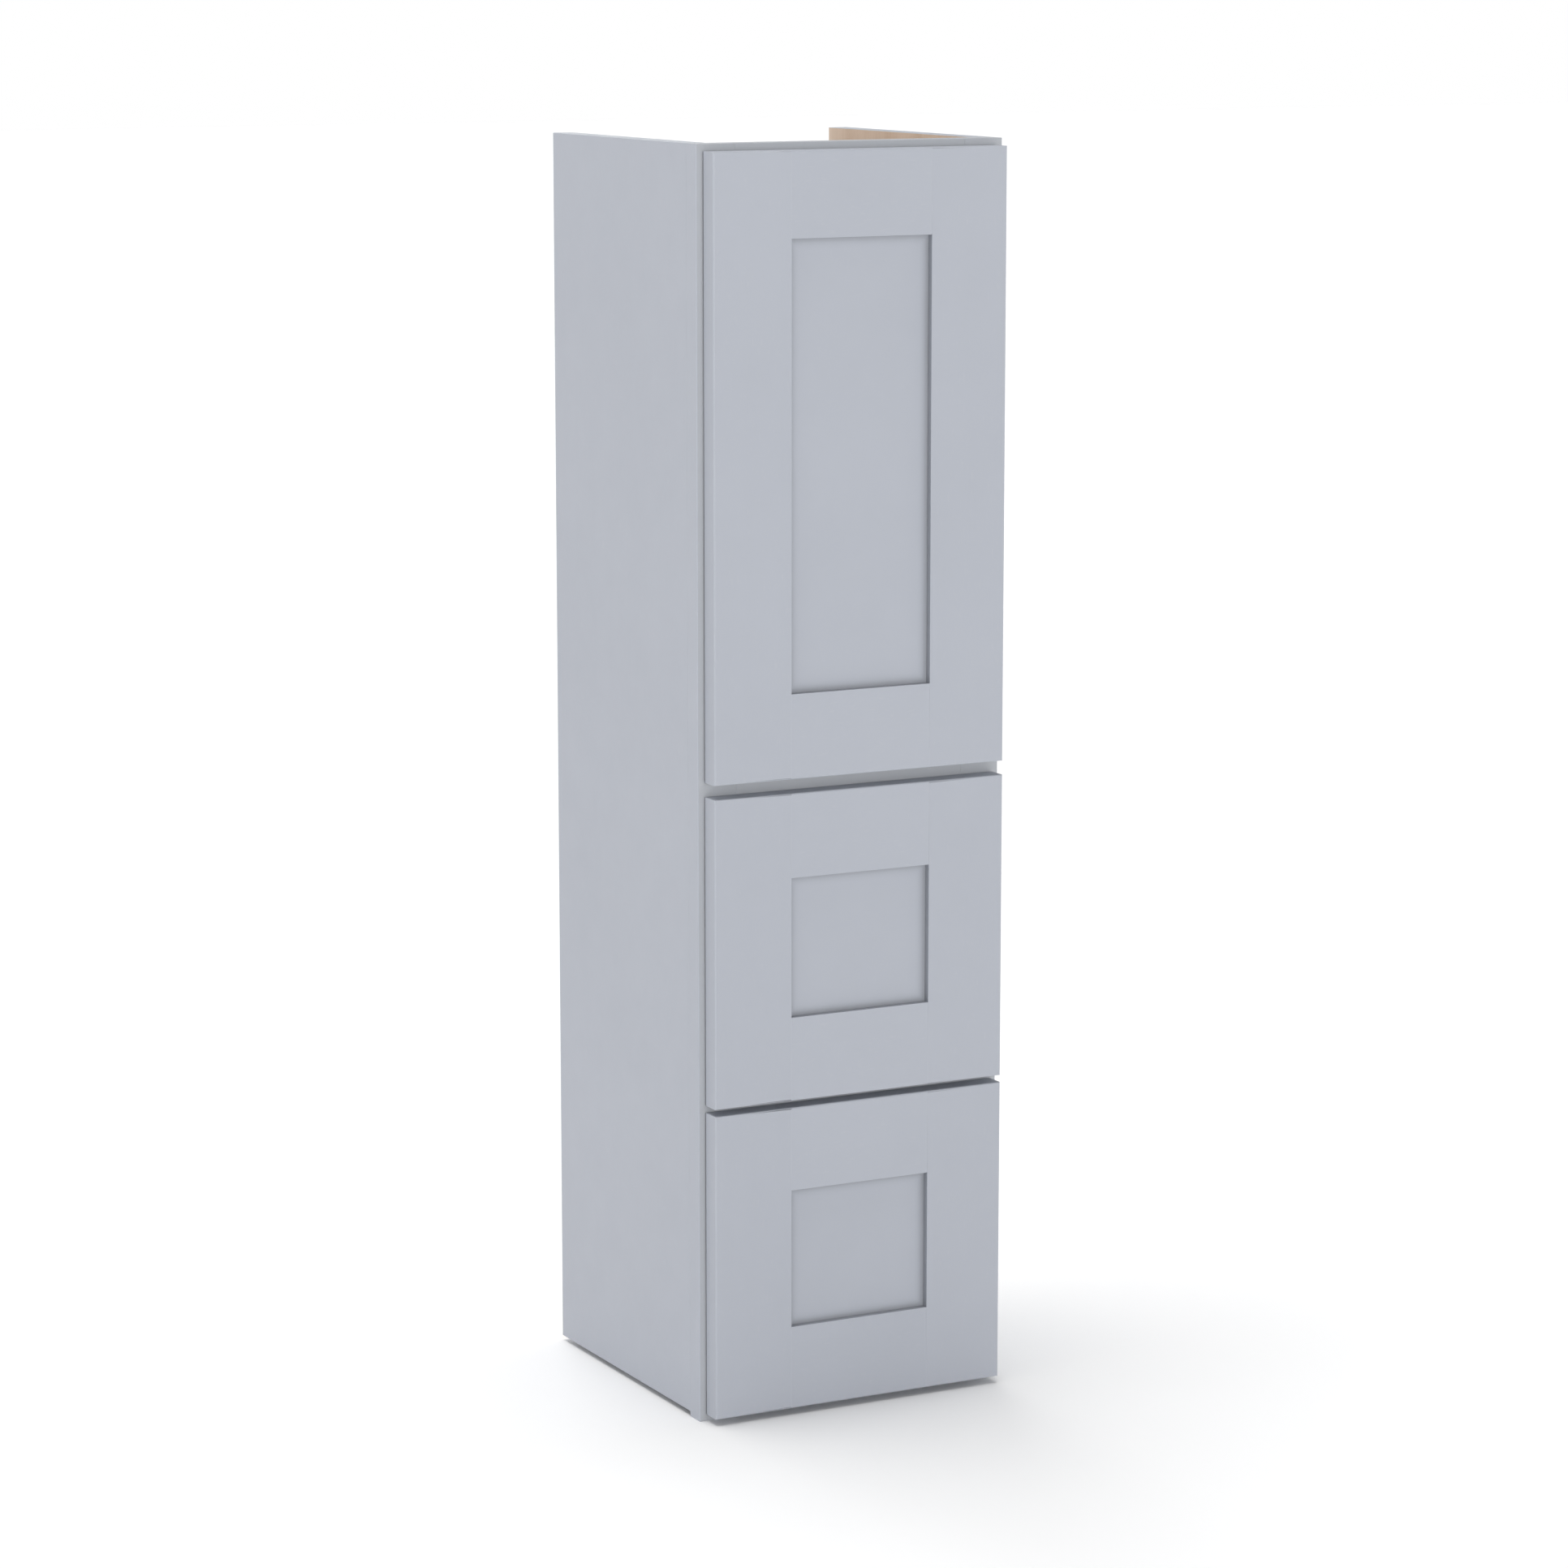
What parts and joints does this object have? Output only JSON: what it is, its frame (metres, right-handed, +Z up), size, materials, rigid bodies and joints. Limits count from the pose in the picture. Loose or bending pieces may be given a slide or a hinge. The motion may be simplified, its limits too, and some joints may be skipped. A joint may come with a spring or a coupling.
{
  "type": "pantry cabinet",
  "caption": "Tall narrow face-frame cabinet with a recessed-panel door on concealed hinges over deep drawers on full-extension slides.",
  "frame": {"origin": "middle of the underside of the cabinet's overall box, level with the foot of the face frame", "axes": "+Z up, +X to the right seen from the front, +Y from the front to the back"},
  "size_m": [0.3048, 0.3128, 1.143],
  "materials": {
    "painted_wood": "satin grey paint on hardwood, faint brush and joint lines",
    "painted_side": "matte grey on the outside of the plywood, clear finished maple inside",
    "veneered_plywood": "clear finished maple veneer",
    "clear_maple": "clear finished solid maple",
    "zinc_steel": "zinc plated sheet steel",
    "nickel_plate": "satin nickel plate",
    "screw_steel": "bright zinc plate",
    "grey_plastic": "moulded nylon",
    "clear_bumper": "clear soft polyurethane"
  },
  "bodies": {
    "carcass": {"side_panel_left": "painted_side", "side_panel_right": "painted_side", "top_panel": "veneered_plywood", "bottom_panel": "veneered_plywood", "deck": "veneered_plywood", "back_panel": "veneered_plywood", "hanging_rail_upper": "veneered_plywood", "hanging_rail_lower": "veneered_plywood", "shelf": "veneered_plywood", "shelf_pins": "nickel_plate", "frame_stile_left": "painted_wood", "frame_stile_right": "painted_wood", "frame_rail_top": "painted_wood", "frame_rail_middle": "painted_wood", "frame_rail_drawers": "painted_wood", "frame_rail_bottom": "painted_wood", "hinge_arms": "nickel_plate", "hinge_arm_screws": "screw_steel", "slide_channels": "zinc_steel", "slide_brackets": "grey_plastic", "slide_screws": "screw_steel"},
    "door": {"door_stile_left": "painted_wood", "door_stile_right": "painted_wood", "door_rail_top": "painted_wood", "door_rail_bottom": "painted_wood", "door_panel": "painted_wood", "hinge_cups": "nickel_plate", "hinge_cup_screws": "screw_steel", "door_bumpers": "clear_bumper"},
    "hinge_links": {"hinge_links": "nickel_plate"},
    "drawer_lower": {"drawer_lower_face_stile_left": "painted_wood", "drawer_lower_face_stile_right": "painted_wood", "drawer_lower_face_rail_top": "painted_wood", "drawer_lower_face_rail_bottom": "painted_wood", "drawer_lower_face_panel": "painted_wood", "drawer_lower_box_side_left": "clear_maple", "drawer_lower_box_side_right": "clear_maple", "drawer_lower_box_front": "clear_maple", "drawer_lower_box_back": "clear_maple", "drawer_lower_box_bottom": "veneered_plywood", "drawer_lower_screws": "screw_steel", "drawer_lower_bumpers": "clear_bumper", "drawer_lower_locks": "grey_plastic", "drawer_lower_slide_caps": "zinc_steel"},
    "drawer_lower_slides": {"drawer_lower_slide_middles": "zinc_steel"},
    "drawer_upper": {"drawer_upper_face_stile_left": "painted_wood", "drawer_upper_face_stile_right": "painted_wood", "drawer_upper_face_rail_top": "painted_wood", "drawer_upper_face_rail_bottom": "painted_wood", "drawer_upper_face_panel": "painted_wood", "drawer_upper_box_side_left": "clear_maple", "drawer_upper_box_side_right": "clear_maple", "drawer_upper_box_front": "clear_maple", "drawer_upper_box_back": "clear_maple", "drawer_upper_box_bottom": "veneered_plywood", "drawer_upper_screws": "screw_steel", "drawer_upper_bumpers": "clear_bumper", "drawer_upper_locks": "grey_plastic", "drawer_upper_slide_caps": "zinc_steel"},
    "drawer_upper_slides": {"drawer_upper_slide_middles": "zinc_steel"}
  },
  "joints": [
    {"name": "door_swing", "type": "hinge", "parent": "carcass", "child": "door", "pos_m": [0.14055, -0.14932, 0.86043], "axis": [0, 0, 1], "range_deg": [0, 110]},
    {"name": "hinge_link_turn", "type": "hinge", "parent": "carcass", "child": "hinge_links", "pos_m": [0.12485, -0.14492, 0.86043], "axis": [0, 0, 1], "range_deg": [0, 124]},
    {"name": "drawer_upper_slide", "type": "slide", "parent": "carcass", "child": "drawer_upper", "axis": [0, -1, 0], "range_m": [0, 0.216]},
    {"name": "drawer_upper_slide_middle", "type": "slide", "parent": "carcass", "child": "drawer_upper_slides", "axis": [0, -1, 0], "range_m": [0, 0.108]},
    {"name": "drawer_lower_slide", "type": "slide", "parent": "carcass", "child": "drawer_lower", "axis": [0, -1, 0], "range_m": [0, 0.216]},
    {"name": "drawer_lower_slide_middle", "type": "slide", "parent": "carcass", "child": "drawer_lower_slides", "axis": [0, -1, 0], "range_m": [0, 0.108]}
  ],
  "couplings": [
    {"joint": "hinge_link_turn", "follows": "door_swing", "ratio": 1.12},
    {"joint": "drawer_upper_slide_middle", "follows": "drawer_upper_slide", "ratio": 0.5},
    {"joint": "drawer_lower_slide_middle", "follows": "drawer_lower_slide", "ratio": 0.5}
  ]
}
